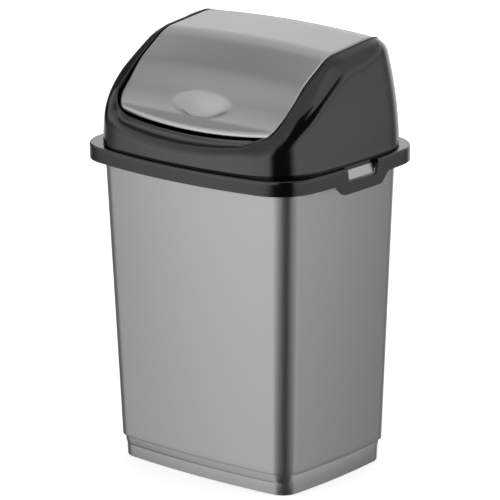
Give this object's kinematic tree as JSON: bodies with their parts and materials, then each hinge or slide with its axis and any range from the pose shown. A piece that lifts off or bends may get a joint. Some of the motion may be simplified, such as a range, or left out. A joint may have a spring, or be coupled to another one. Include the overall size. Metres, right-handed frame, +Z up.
{
  "type": "countertop_bin",
  "caption": "Countertop waste bin: tapered silver bucket, gloss black clip-fit hood and a silver flap that swings in the hood's opening",
  "frame": {"origin": "centre of the footprint on the table", "axes": "+Z up, -Y front (the side of the finger scoop), +X to the right of a viewer behind the bin's front"},
  "size_m": [0.19, 0.1594, 0.2961],
  "materials": {
    "silver": "satin metallic grey",
    "black": "smooth gloss"
  },
  "bodies": {
    "bucket_body": {"bucket": "silver"},
    "hood_body": {"hood": "black"},
    "flap_body": {"flap": "silver"}
  },
  "joints": [
    {"name": "hood_lift", "type": "slide", "parent": "bucket_body", "child": "hood_body", "axis": [0, 0, 1], "range_m": [0, 0.1]},
    {"name": "flap_swing", "type": "hinge", "parent": "hood_body", "child": "flap_body", "pos_m": [0, -0.008, 0.278], "axis": [1, 0, 0], "range_deg": [0, 60]}
  ]
}
